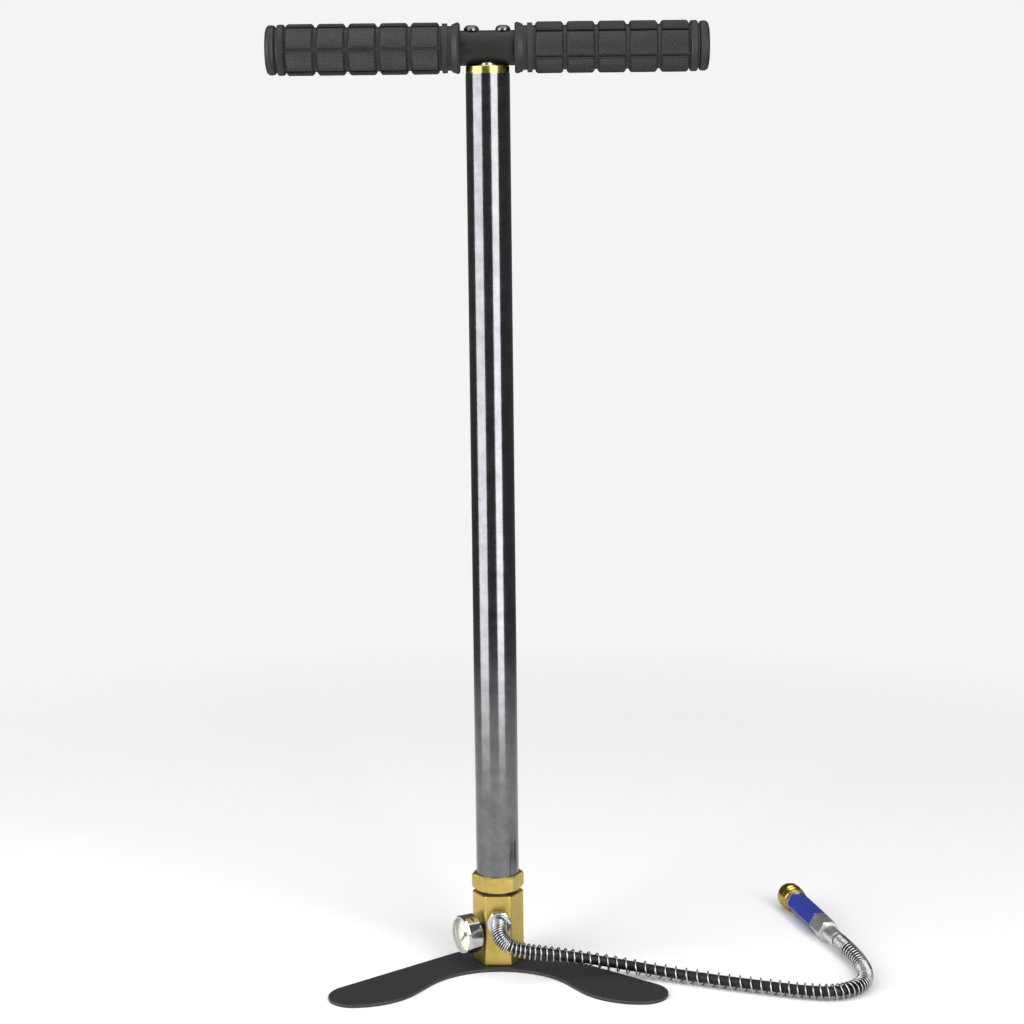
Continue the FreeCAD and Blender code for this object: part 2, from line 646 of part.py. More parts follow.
def gauge():
    """Small dial gauge on the block's left front flat; local z runs out of the dial."""
    radius = GAUGE_OUTER / 2
    back = FACE + 3.0
    front = back + GAUGE_DEEP
    stem = turned("gauge_stem", [
        (0.8, 0), (3.0, 0), (3.0, 5.0), (4.0, 5.0), (4.0, 9.2), (0.8, 9.2),
    ])
    keep(stem, "gauge_stem", GAUGE_FRAME * Placement(Vector(0, 0, FACE.value - 5.0), Rotation()))
    at_face = GAUGE_FRAME * Placement(Vector(0, 0, FACE.value), Rotation())
    keep(sleeve("gauge_seal", 4.0, 5.6, 1.0), "gauge_seal", at_face)
    at_back = GAUGE_FRAME * Placement(Vector(0, 0, back.value), Rotation())
    case = turned("gauge_case", [
        (4.0, 0), (radius - 1.0, 0), (radius, 1.0), (radius, GAUGE_DEEP), (radius - 1.1, GAUGE_DEEP),
        (radius - 1.1, 1.2), (4.0, 1.2),
    ])
    keep(case, "gauge_case", at_back)
    at_front = GAUGE_FRAME * Placement(Vector(0, 0, front.value), Rotation())
    bezel = turned("gauge_bezel", [
        (radius - 1.6, 0), (radius + 0.1, 0), (radius + 0.1, 0.9), (radius - 0.7, 1.7), (radius - 1.6, 1.7),
    ])
    keep(bezel, "gauge_bezel", at_front)
    lens = sleeve("gauge_lens", 0, radius - 1.6, 0.8)
    keep(lens, "gauge_lens", at_front * Placement(Vector(0, 0, 0.2), Rotation()))
    dial = sleeve("gauge_dial", 0.9, radius - 1.2, 0.5)
    keep(dial, "gauge_dial", at_front * Placement(Vector(0, 0, -2.6), Rotation()))
    plate = cylinder("movement_plate", 3.2, 2.6, 1.2)
    spindle = cylinder("movement_spindle", 0.5, GAUGE_DEEP - 4.7, 2.6)
    movement = fuse("gauge_movement", [plate, spindle])
    keep(movement, "gauge_movement", at_back)
    spring_tube = doc.addObject("Part::Torus", "bourdon_tube")
    bind(spring_tube, "Radius1", radius - 4.0)
    spring_tube.Radius2 = 0.9
    spring_tube.Angle3 = 250
    keep(spring_tube, "bourdon_tube", at_back * Placement(Vector(0, 0, 3.0), Rotation()))
    hub = cylinder("pointer_hub", 1.4, 0.5, 0.0)
    needle = doc.addObject("Part::Wedge", "pointer_needle")
    needle.Xmin = -0.7
    needle.Xmax = 0.7
    needle.X2min = -0.15
    needle.X2max = 0.15
    needle.Ymin = 0
    needle.Ymax = 8.4
    needle.Zmin = 0
    needle.Zmax = 0.3
    needle.Z2min = 0
    needle.Z2max = 0.3
    pointer = fuse("gauge_pointer", [hub, needle])
    at_zero = Placement(Vector(0, 0, -1.6), Rotation(Vector(0, 0, 1), 135))
    keep(pointer, "gauge_pointer", at_front * at_zero)


def bleed_screw():
    """Thumb screw that vents the hose, on the block's rear flat, and its O-ring."""
    head_foot = FACE.value + 1.5
    blank = turned("bleed_blank", [
        (0, 0), (1.0, 0), (3.0, 2.0), (3.0, head_foot - 7.5), (5.5, head_foot - 7.5), (5.5, head_foot - 1.2),
        (4.9, head_foot - 0.6), (0, head_foot - 0.6),
    ])
    flutes = []
    for number in range(12):
        turn = Rotation(Vector(0, 0, 1), 30 * number)
        place = Placement(turn.multVec(Vector(5.9, 0, 0)), Rotation())
        flutes.append(cylinder("bleed_flute_%d" % (number + 1), 0.8, 20.0, head_foot - 7.5, place))
    screw = cut("bleed_screw", blank, flutes)
    keep(screw, "bleed_screw", BLEED_FRAME * Placement(Vector(0, 0, 7.5), Rotation()))
    keep(ring("bleed_o_ring", 3.1, 1.2, FACE.value + 0.7, BLEED_FRAME), "bleed_o_ring")


# ---------------------------------------------------------------- hose and coupler

def hose_union():
    """Hexagon union on the front flat, with the washer that seals it."""
    washer = sleeve("union_washer", 4.0, 6.5, 1.0)
    keep(washer, "union_washer", FRONT_FRAME * Placement(Vector(0, 0, FACE.value), Rotation()))
    nut = hexagon("union_hexagon", UNION_FLATS, 5.5)
    nut.Placement = Placement(Vector(0, 0, 7.0), Rotation())
    solid = fuse("union_solid", [nut, cylinder("union_thread", 4.0, 7.0, 0.0)])
    tools = [cylinder("union_way", 1.5, 13.0), cylinder("union_socket", HOSE_OUTER / 2, 6.0, 7.0)]
    place = FRONT_FRAME * Placement(Vector(0, 0, FACE.value - 6.0), Rotation())
    keep(cut("hose_union", solid, tools), "hose_union", place)


def route_wire(points):
    """Straight runs joined by tangent arcs, each as large as its two runs allow."""
    corners = [Vector(*point) for point in points]
    edges = []
    start = corners[0]
    for before, here, after in zip(corners, corners[1:], corners[2:]):
        back = before - here
        on = after - here
        reach = 0.45 * min(back.Length, on.Length)
        half = (math.pi - back.getAngle(on)) / 2
        radius = reach / math.tan(half)
        print("hose turn %5.1f degrees, radius %6.1f mm" % (math.degrees(2 * half), radius))
        back.normalize()
        on.normalize()
        middle = (back + on).normalize()
        crown = here + middle * (radius / math.cos(half) - radius)
        first = here + back * reach
        last = here + on * reach
        edges.append(Part.LineSegment(start, first).toShape())
        edges.append(Part.Arc(first, crown, last).toShape())
        start = last
    edges.append(Part.LineSegment(start, corners[-1]).toShape())
    return Part.Wire(edges)


def swept(path, radius):
    """Round solid along a path, compared with its section times its length."""
    solid = path.makePipeShell([round_section(path.Edges[0], radius)], True, True)
    ratio = solid.Volume / (math.pi * radius * radius * path.Length)
    print("swept solid: length %.1f mm, volume ratio %.4f" % (path.Length, ratio))
    return solid


def hose():
    """Free hose and the coil guard over it; the guard is a plain sleeve of its outer size."""
    path = route_wire(HOSE_ROUTE)
    line = doc.addObject("Part::Feature", "hose")
    line.Shape = swept(path, HOSE_OUTER.value / 2)
    keep(line, "hose", Placement())
    guard = swept(path, GUARD_OUTER.value / 2).cut(swept(path, GUARD_BORE.value / 2))
    union_end = FRONT_FRAME * Placement(Vector(-20, -20, FACE.value - 13.5), Rotation())
    inside_union = Part.makeBox(40, 40, 20)
    inside_union.Placement = union_end
    ferrule_end = COUPLER_FRAME * Placement(Vector(-20, -20, -FERRULE_LONG.value), Rotation())
    inside_ferrule = Part.makeBox(40, 40, 40)
    inside_ferrule.Placement = ferrule_end
    trimmed = guard.cut(inside_union).cut(inside_ferrule)
    cover = doc.addObject("Part::Feature", "hose_guard")
    cover.Shape = trimmed.Solids[0]
    keep(cover, "hose_guard", Placement())


def coupler():
    """Female quick coupler: crimped ferrule, hexagon, blue hexagonal sleeve, sprung collar."""
    radius = HOSE_OUTER / 2
    ferrule = turned("hose_ferrule", [
        (radius, 0), (radius + 1.4, 0), (radius + 2.05, 2.4), (radius + 2.05, FERRULE_LONG),
        (radius, FERRULE_LONG),
    ])
    keep(ferrule, "hose_ferrule", COUPLER_FRAME * Placement(Vector(0, 0, -FERRULE_LONG.value), Rotation()))

    shank = 5.0
    barrel_radius = 6.3
    flange = 7.35
    sleeve_foot = HEX_LONG + 0.4
    flange_foot = sleeve_foot + SLEEVE_LONG + 0.1
    flange_top = flange_foot + 2.6
    mouth = flange_top + COLLAR_LONG - 0.4
    bore_foot = mouth - PROBE_DEEP
    nut = hexagon("coupler_hexagon", SLEEVE_FLATS - 0.3, HEX_LONG)
    turned_part = turned("coupler_turned", [
        (0, 8), (shank, 8), (shank, flange_foot), (flange, flange_foot), (flange, flange_top),
        (barrel_radius, flange_top), (barrel_radius, mouth), (0, mouth),
    ])
    solid = fuse("coupler_solid", [nut, turned_part])
    probe = PROBE_BORE / 2
    tools = [
        cylinder("coupler_probe_way", probe, PROBE_DEEP + 1, bore_foot),
        cylinder("coupler_washer_seat", probe + 0.4, 1.5, bore_foot - 1.5),
        cylinder("coupler_air_way", 1.5, mouth, 0.5),
    ]
    places = []
    for number in range(4):
        turn = Rotation(Vector(0, 0, 1), 90 * number)
        height = mouth.value - 4.0
        places.append(Placement(turn.multVec(Vector(probe.value + BALL_REACH, 0, height)), Rotation()))
        aim = turn * Rotation(Vector(0, 1, 0), 90)
        start = Placement(turn.multVec(Vector(probe.value + 0.25, 0, height)), aim)
        tools.append(cylinder("coupler_ball_hole_%d" % (number + 1), 1.05, 4.0, 0.0, start))
    keep(cut("coupler_body", solid, tools), "coupler_body", COUPLER_FRAME)
    ball = doc.addObject("Part::Sphere", "lock_ball")
    ball.Radius = 0.95
    keep(copies("coupler_balls", ball, places), "coupler_balls", COUPLER_FRAME)
    washer = sleeve("coupler_washer", 1.5, probe + 0.4, 1.5)
    keep(washer, "coupler_washer", COUPLER_FRAME * Placement(Vector(0, 0, bore_foot.value - 1.5), Rotation()))

    blank = hexagon("sleeve_hexagon", SLEEVE_FLATS, SLEEVE_LONG)
    tube = cut("coupler_sleeve", blank, [cylinder("sleeve_bore", shank, 50.0, 0.0)])
    keep(tube, "coupler_sleeve", COUPLER_FRAME * Placement(Vector(0, 0, sleeve_foot.value), Rotation()))
    collar(flange_top + 0.3, barrel_radius + RUNNING.value, flange + RUNNING.value)
    coil_spring("collar_spring", 6.85, 0.35, 3, flange_top.value + 0.45, 5.0, COUPLER_FRAME)


def collar(foot, bore, spring_room):
    """Domed brass collar with two ridges; it slides back over the flange against its spring."""
    crest = COLLAR_OUTER / 2
    points = [
        (spring_room, 0), (crest - 1.2, 0), (crest - 0.7, 0.5), (crest - 0.7, 2.0), (crest - 1.4, 2.6),
        (crest - 1.4, 3.4), (crest - 0.5, 4.0), (crest - 0.2, 4.8), (crest - 0.5, 5.6), (crest - 1.1, 6.2),
        (crest - 1.1, 6.8), (crest - 0.2, 7.4), (crest, 8.4), (crest, 11.6), (crest - 0.5, 13.6),
        (crest - 1.4, 15.4), (crest - 2.6, COLLAR_LONG), (bore, COLLAR_LONG), (bore, 6.4), (spring_room, 6.4),
    ]
    item = turned("coupler_collar", points)
    keep(item, "coupler_collar", COUPLER_FRAME * Placement(Vector(0, 0, foot.value), Rotation()))


# ---------------------------------------------------------------- build, check and write

def export():
    """Stop on any failed object; write each sub-part to parts/<label>.step."""
    doc.recompute()
    for item in doc.Objects:
        if "Invalid" in item.State or "Error" in item.State:
            raise SystemExit("failed object: %s %s" % (item.Name, item.State))
    labels = [item.Label for item in SUBPARTS]
    if len(set(labels)) != len(labels):
        raise SystemExit("two sub-parts share a label")
    os.makedirs("parts", exist_ok=True)
    for item in SUBPARTS:
        shape = item.Shape
        if shape.isNull() or not shape.isValid() or not shape.Solids:
            raise SystemExit("bad shape: " + item.Label)
    for item in SUBPARTS:
        item.Shape.exportStep("parts/%s.step" % item.Label)
    print("%d sub-parts written" % len(SUBPARTS))


def main():
    doc.recompute()
    foot_plate()
    foot_screws()
    valve_block()
    outlet_check_valve()
    base_seal()
    base_plug()
    barrel()
    inner_tube()
    first_stage_piston()
    middle_tube()
    plunger()
    handle_stem()
    crossbar()
    handle_socket()
    handle_screws()
    grips()
    gauge()
    bleed_screw()
    hose_union()
    hose()
    coupler()
    export()


main()
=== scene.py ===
"""Looks of a hand-operated high-pressure air pump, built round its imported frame.

Every length is in metres in the frame's own axes unless its name says mm: the barrel stands on
the z axis, the floor is z = 0 and -Y is the front.
"""
from __future__ import annotations

import logging
import math
from dataclasses import dataclass
from enum import Enum
from typing import ClassVar

import bmesh
import bpy
from mathutils import Matrix, Vector

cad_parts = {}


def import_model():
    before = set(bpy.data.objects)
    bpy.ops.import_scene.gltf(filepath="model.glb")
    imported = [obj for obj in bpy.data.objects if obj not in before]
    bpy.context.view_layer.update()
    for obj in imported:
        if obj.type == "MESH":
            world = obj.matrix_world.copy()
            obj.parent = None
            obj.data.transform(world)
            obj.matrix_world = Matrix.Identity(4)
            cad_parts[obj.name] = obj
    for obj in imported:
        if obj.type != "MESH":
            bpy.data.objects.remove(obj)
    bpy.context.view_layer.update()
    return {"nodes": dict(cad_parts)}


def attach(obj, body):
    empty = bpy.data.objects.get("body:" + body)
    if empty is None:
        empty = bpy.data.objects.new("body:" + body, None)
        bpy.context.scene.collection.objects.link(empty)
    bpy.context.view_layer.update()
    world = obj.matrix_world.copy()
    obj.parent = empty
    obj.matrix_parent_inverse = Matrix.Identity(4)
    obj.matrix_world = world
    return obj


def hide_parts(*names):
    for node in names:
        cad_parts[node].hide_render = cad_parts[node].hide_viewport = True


LOG = logging.getLogger("hand_pump")
MM = 0.001
MM_PER_METRE = 1000

Colour = tuple[float, float, float, float]
Triple = tuple[float, float, float]


class Body(Enum):
    """The moving bodies that new pieces ride on."""

    BASE = "base"
    HANDLE = "handle"


# ---------------------------------------------------------------- small tools

def linear(code: str) -> Colour:
    """Turn an sRGB hex colour into linear light.

    Args:
        code: colour written as "#rrggbb".

    Returns:
        Red, green, blue and a full alpha.
    """
    parts = [int(code[at:at + 2], 16) / 255 for at in (1, 3, 5)]
    light = [p / 12.92 if p <= 0.04045 else ((p + 0.055) / 1.055) ** 2.4 for p in parts]
    return (light[0], light[1], light[2], 1.0)


def add_node(
    tree: bpy.types.NodeTree,
    kind: str,
    settings: dict[str | int, object] | None = None,
    links: dict[str | int, bpy.types.NodeSocket] | None = None,
    stops: list[tuple[float, Colour]] | None = None,
) -> bpy.types.Node:
    """Add one node with its settings and links.

    Args:
        tree: node tree that it goes into.
        kind: Blender's name for the node.
        settings: values by input name or number, or by the node's own property name.
        links: sockets by the input that they feed.
        stops: places and colours of a colour ramp.

    Returns:
        The new node.
    """
    made = tree.nodes.new(kind)
    for key, value in (settings or {}).items():
        if isinstance(key, str) and hasattr(made, key):
            setattr(made, key, value)
        else:
            made.inputs[key].default_value = value
    for key, source in (links or {}).items():
        tree.links.new(source, made.inputs[key])
    if stops:
        ramp = made.color_ramp.elements
        while len(ramp) < len(stops):
            ramp.new(1.0)
        for element, (place, colour) in zip(ramp, stops):
            element.position = place
            element.color = colour
    return made


def add_object(name: str, data: bpy.types.ID) -> bpy.types.Object:
    """Put a mesh, a curve, a light or a camera into the scene.

    Args:
        name: name of the object.
        data: what it holds.

    Returns:
        The object, at the origin.
    """
    made = bpy.data.objects.new(name, data)
    bpy.context.scene.collection.objects.link(made)
    return made


def mesh_of_shape(name: str, shape: bmesh.types.BMesh) -> bpy.types.Mesh:
    """Turn a shape into a mesh, and free the shape.

    Args:
        name: name of the mesh.
        shape: what was modelled.

    Returns:
        The mesh.
    """
    mesh = bpy.data.meshes.new(name)
    shape.to_mesh(mesh)
    shape.free()
    return mesh


def add_piece(
    name: str, shape: bmesh.types.BMesh | bpy.types.Mesh, finish: Finish, body: Body,
    replaced: tuple[str, ...] = (),
) -> bpy.types.Object:
    """Make a shape into a dressed piece of the pump.

    Args:
        name: name of the piece.
        shape: its mesh, already in place in the frame.
        finish: what it is made of.
        body: the body that it rides on.
        replaced: CAD nodes that it stands for.

    Returns:
        The finished object, with its origin at the frame's origin.
    """
    if isinstance(shape, bmesh.types.BMesh):
        mesh = mesh_of_shape(name, shape)
    else:
        mesh = shape
        mesh.name = name
    made = add_object(name, mesh)
    finish.dress(made)
    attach(made, body.value)
    if replaced:
        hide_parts(*replaced)
    LOG.info("piece %s: %d faces, on %s", name, len(mesh.polygons), body.value)
    return made


def mesh_of_curve(curve: bpy.types.Curve) -> bpy.types.Mesh:
    """Read the mesh that a curve draws, and remove the curve.

    Args:
        curve: curve or text data, with or without a bevel.

    Returns:
        A mesh of its own, in the curve's space.
    """
    holder = add_object("reading", curve)
    graph = bpy.context.evaluated_depsgraph_get()
    mesh = bpy.data.meshes.new_from_object(holder.evaluated_get(graph))
    bpy.data.objects.remove(holder)
    return mesh


# ---------------------------------------------------------------- finishes

@dataclass(frozen=True)
class Finish:
    """A surface: one material, made once and shared."""

    name: str

    def dress(self, obj: bpy.types.Object) -> None:
        """Put this finish on an object in place of what it has."""
        material = bpy.data.materials.get(self.name) or self.make()
        if not obj.material_slots:
            obj.data.materials.append(material)
        for held in obj.material_slots:
            held.material = material

    def make(self) -> bpy.types.Material:
        """Make the material with its shader, and let the finish paint it."""
        material = bpy.data.materials.new(self.name)
        material.use_nodes = True
        tree = material.node_tree
        tree.nodes.clear()
        shader = add_node(tree, "ShaderNodeBsdfPrincipled")
        add_node(tree, "ShaderNodeOutputMaterial", links={"Surface": shader.outputs["BSDF"]})
        self.paint(tree, shader)
        return material

    def paint(self, tree: bpy.types.NodeTree, shader: bpy.types.Node) -> None:
        """Set the shader up; every finish does this in its own way."""
        raise NotImplementedError

    @staticmethod
    def feed(tree: bpy.types.NodeTree, shader: bpy.types.Node, **sources: bpy.types.NodeSocket) -> None:
        """Link sources into the shader's sockets, whose names have a space for each underscore."""
        for socket, source in sources.items():
            tree.links.new(source, shader.inputs[socket.replace("_", " ")])


@dataclass(frozen=True)
class WorkedMetal(Finish):
    """Bare or plated metal with tool marks, a slight handling haze and uneven colour.

    grain holds how many marks cross a millimetre along x, y and z: a turned part has them along
    its axis only, a drawn or polished one across it.
    """

    colour: str
    shade: str
    roughness: float
    haze: float
    grain: Triple
    grain_depth_mm: float
    patch_mm: float
    turn: Triple = (0.0, 0.0, 0.0)
    patch_levels: ClassVar[tuple[float, float]] = (0.34, 0.62)  # noise that gives the shade and the colour
    gloss_levels: ClassVar[tuple[float, float]] = (0.7, 1.4)    # patches and marks together, polished to dull

    def paint(self, tree: bpy.types.NodeTree, shader: bpy.types.Node) -> None:
        """Mix two tones by patches, and cut the tool marks into gloss and relief."""
        place = add_node(tree, "ShaderNodeTexCoord").outputs["Object"]
        patches = add_node(
            tree, "ShaderNodeTexNoise",
            {"Scale": MM_PER_METRE / self.patch_mm, "Detail": 5.0, "Roughness": 0.62}, {"Vector": place},
        )
        along = place
        if any(self.turn):
            along = add_node(
                tree, "ShaderNodeMapping", {"vector_type": "TEXTURE", "Rotation": self.turn},
                {"Vector": place},
            ).outputs["Vector"]
        lined = add_node(
            tree, "ShaderNodeMapping", {"Scale": tuple(MM_PER_METRE * marks for marks in self.grain)},
            {"Vector": along},
        )
        marks = add_node(
            tree, "ShaderNodeTexNoise", {"Scale": 1.0, "Detail": 3.0}, {"Vector": lined.outputs["Vector"]},
        )
        low, high = self.patch_levels
        tone = add_node(
            tree, "ShaderNodeValToRGB", links={"Fac": patches.outputs["Fac"]},
            stops=[(low, linear(self.shade)), (high, linear(self.colour))],
        )
        gloss = add_node(
            tree, "ShaderNodeMath", {"operation": "ADD"},
            {0: patches.outputs["Fac"], 1: marks.outputs["Fac"]},
        )
        polished, dull = self.gloss_levels
        rough = add_node(
            tree, "ShaderNodeMapRange",
            {
                "From Min": polished, "From Max": dull,
                "To Min": self.roughness, "To Max": self.roughness + self.haze,
            },
            {"Value": gloss.outputs["Value"]},
        )
        relief = add_node(
            tree, "ShaderNodeBump", {"Strength": 1.0, "Distance": self.grain_depth_mm * MM},
            {"Height": marks.outputs["Fac"]},
        )
        shader.inputs["Metallic"].default_value = 1.0
        self.feed(
            tree, shader, Base_Color=tone.outputs["Color"], Roughness=rough.outputs["Result"],
            Normal=relief.outputs["Normal"],
        )


@dataclass(frozen=True)
class Coated(Finish):
    """Paint, powder coat, plastic or rubber: two close tones, a fine skin texture and pale specks."""

    colour: str
    shade: str
    roughness: float
    haze: float
    skin_mm: float
    skin_depth_mm: float
    patch_mm: float
    specks: str = ""
    speck_share: float = 0.0
    speck_mm: float = 3.0
    gloss: float = 0.5
    index: float = 1.5
    patch_levels: ClassVar[tuple[float, float]] = (0.3, 0.7)    # noise that gives the shade and the colour
    speck_levels: ClassVar[tuple[float, float]] = (0.66, 0.76)  # noise where a speck starts and is full

    def paint(self, tree: bpy.types.NodeTree, shader: bpy.types.Node) -> None:
        """Mix the tones, scatter the specks and raise the skin."""
        place = add_node(tree, "ShaderNodeTexCoord").outputs["Object"]
        patches = add_node(
            tree, "ShaderNodeTexNoise",
            {"Scale": MM_PER_METRE / self.patch_mm, "Detail": 4.0, "Roughness": 0.6}, {"Vector": place},
        )
        skin = add_node(
            tree, "ShaderNodeTexNoise",
            {"Scale": MM_PER_METRE / self.skin_mm, "Detail": 2.0}, {"Vector": place},
        )
        low, high = self.patch_levels
        tone = add_node(
            tree, "ShaderNodeValToRGB", links={"Fac": patches.outputs["Fac"]},
            stops=[(low, linear(self.shade)), (high, linear(self.colour))],
        ).outputs["Color"]
        if self.specks:
            dust = add_node(
                tree, "ShaderNodeTexNoise",
                {"Scale": MM_PER_METRE / self.speck_mm, "Detail": 8.0, "Roughness": 0.75}, {"Vector": place},
            )
            start, full = self.speck_levels
            where = add_node(
                tree, "ShaderNodeMapRange",
                {"From Min": start - self.speck_share, "From Max": full - self.speck_share},
                {"Value": dust.outputs["Fac"]},
            )
            mixed = add_node(
                tree, "ShaderNodeMix", {"data_type": "RGBA", 7: linear(self.specks)},
                {0: where.outputs["Result"], 6: tone},
            )
            tone = mixed.outputs[2]
        rough = add_node(
            tree, "ShaderNodeMapRange",
            {
                "From Min": low, "From Max": high,
                "To Min": self.roughness, "To Max": self.roughness + self.haze,
            },
            {"Value": patches.outputs["Fac"]},
        )
        relief = add_node(
            tree, "ShaderNodeBump", {"Strength": 1.0, "Distance": self.skin_depth_mm * MM},
            {"Height": skin.outputs["Fac"]},
        )
        shader.inputs["Specular IOR Level"].default_value = self.gloss
        shader.inputs["IOR"].default_value = self.index
        self.feed(
            tree, shader, Base_Color=tone, Roughness=rough.outputs["Result"], Normal=relief.outputs["Normal"],
        )


@dataclass(frozen=True)
class ClearPane(Finish):
    """Thin clear polycarbonate over the dial: mostly see-through, with faint handling marks."""

    colour: str
    cover: float
    smear_mm: float = 6.25

    def paint(self, tree: bpy.types.NodeTree, shader: bpy.types.Node) -> None:
        """Keep the pane almost clear and let faint smears dull its gloss."""
        place = add_node(tree, "ShaderNodeTexCoord").outputs["Object"]
        smears = add_node(
            tree, "ShaderNodeTexNoise",
            {"Scale": MM_PER_METRE / self.smear_mm, "Detail": 3.0}, {"Vector": place},
        )
        rough = add_node(
            tree, "ShaderNodeMapRange", {"To Min": 0.03, "To Max": 0.14}, {"Value": smears.outputs["Fac"]},
        )
        shader.inputs["Base Color"].default_value = linear(self.colour)
        shader.inputs["Alpha"].default_value = self.cover
        shader.inputs["IOR"].default_value = 1.58
        self.feed(tree, shader, Roughness=rough.outputs["Result"])


COUPLER_TURN = (math.radians(-89.0), 0.0, math.radians(14.2))   # the coupler's axis, as an Euler turn of z

# Gold-anodised aluminium bar: drawn flats keep faint lengthwise lines, so its glints are soft and long.
GOLD_ALUMINIUM = WorkedMetal(
    "gold_anodised_aluminium", "#c9b365", "#b39c50", 0.34, 0.12, (0.9, 0.9, 0.03), 0.0012, 22,
)
# The cap is turned from the same bar, so its marks run round it.
GOLD_TURNED = WorkedMetal(
    "gold_turned_aluminium", "#d3be70", "#b8a156", 0.18, 0.10, (0.02, 0.02, 2.2), 0.004, 14,
)
# Hard-chromed steel tube, honed lengthwise: a near mirror with faint upright streaks and grease haze.
HONED_TUBE = WorkedMetal(
    "honed_chromed_tube", "#767679", "#68686b", 0.10, 0.08, (0.55, 0.55, 0.004), 0.003, 9,
)
# Decorative chrome on brass: smooth, blue-white and slightly wavy.
CHROME_PLATE = WorkedMetal("chrome_plate", "#c9c9ce", "#aeaeb4", 0.06, 0.08, (0.3, 0.3, 0.3), 0.002, 8)
# Turned steel: fine rings catch the light, so it looks greyer than chrome.
TURNED_STEEL = WorkedMetal("turned_steel", "#b9b8b6", "#959492", 0.26, 0.14, (0.05, 0.05, 2.5), 0.003, 6)
# Nickel plate on the coupler's turned steel: paler and softer than the chrome.
COUPLER_STEEL = WorkedMetal(
    "nickelled_coupler_steel", "#dedddb", "#bcbbb9", 0.34, 0.14, (0.05, 0.05, 2.5), 0.004, 6, COUPLER_TURN,
)
# Bright drawn spring wire: hard, even and shiny.
SPRING_WIRE = WorkedMetal("bright_spring_wire", "#b6b6b9", "#98989b", 0.14, 0.10, (0.4, 0.4, 0.4), 0.002, 5)
# Yellow brass from the lathe, for the inner parts.
TURNED_BRASS = WorkedMetal("turned_brass", "#d1ab52", "#b48c38", 0.24, 0.12, (0.03, 0.03, 2.0), 0.003, 8)
# The collar is the same brass, polished by handling.
COLLAR_BRASS = WorkedMetal(
    "polished_collar_brass", "#bfa650", "#8f7c36", 0.13, 0.10, (0.03, 0.03, 2.6), 0.004, 6, COUPLER_TURN,
)

# Thin matte powder coat on steel: an even orange peel, with a few chips where shoes have scraped it.
POWDER_COAT = Coated(
    "black_powder_coat", "#343434", "#2d2d2d", 0.46, 0.10, 1.1, 0.03, 40, "#6e6e6c", -0.02, 2.6, 0.42,
)
# Satin paint on the bar: smoother than the plate, with a broad sheen.
BAR_PAINT = Coated("black_bar_paint", "#1a1a1a", "#131313", 0.34, 0.12, 0.9, 0.02, 16, gloss=0.3)
# Black oxide on steel screws: dark and lightly oiled, so sharply glinting.
BLACK_OXIDE = Coated(
    "black_oxide_steel", "#1b1b1c", "#121213", 0.16, 0.12, 0.6, 0.004, 5, gloss=0.9, index=1.8,
)
# Moulded nitrile rubber: charcoal, dull, with chalky dust held in the texture.
GRIP_RUBBER = Coated(
    "moulded_grip_rubber", "#1d1d1d", "#151515", 0.44, 0.14, 0.7, 0.03, 18, "#7c7c79", -0.01, 5.0, 0.42,
)
# High-pressure hose jacket: smooth extruded polyamide, deep black and glossy.
HOSE_JACKET = Coated("black_hose_jacket", "#0c0c0c", "#080808", 0.34, 0.12, 0.9, 0.01, 12, gloss=0.3)
# Moulded nitrile seals: plain matte black.
SEAL_RUBBER = Coated("nitrile_seal", "#1c1c1c", "#141414", 0.42, 0.12, 0.5, 0.01, 6, gloss=0.4)
# Blue-dyed anodised aluminium under clear lacquer: saturated, with a pale top glint.
BLUE_SLEEVE = Coated("blue_lacquered_sleeve", "#2a3796", "#232e80", 0.20, 0.10, 0.8, 0.006, 14, gloss=0.7)
# Skived PTFE band: milky white and waxy.
WEAR_BAND = Coated("ptfe_wear_band", "#e9e8e2", "#d9d8d1", 0.38, 0.12, 0.7, 0.01, 8)
# Pressed wool felt: grey, rough and without any gloss.
WIPER_FELT = Coated("grey_felt", "#a09a8e", "#837d72", 0.85, 0.10, 0.35, 0.12, 4, gloss=0.1)
# Cream enamel on the dial's steel disc, with screen-printed inks that lie flat on it.
DIAL_CARD = Coated("cream_dial_enamel", "#f8f8e6", "#eeefd8", 0.42, 0.08, 0.6, 0.004, 10, gloss=0.4)
DIAL_INK = Coated("black_dial_ink", "#22241f", "#191a17", 0.45, 0.10, 0.3, 0.002, 3, gloss=0.3)
DIAL_GREEN = Coated("green_dial_ink", "#3f9a4e", "#358544", 0.45, 0.10, 0.3, 0.002, 3, gloss=0.3)
DIAL_RED = Coated("red_dial_ink", "#b33a2e", "#9c3026", 0.45, 0.10, 0.3, 0.002, 3, gloss=0.3)
# Baked black paint on the pointer.
NEEDLE_PAINT = Coated("black_needle_paint", "#1d1d1d", "#151515", 0.30, 0.08, 0.3, 0.003, 3)
# Clear moulded window: only its glints show.
DIAL_PANE = ClearPane("dial_window", "#f4fbf6", 0.08)

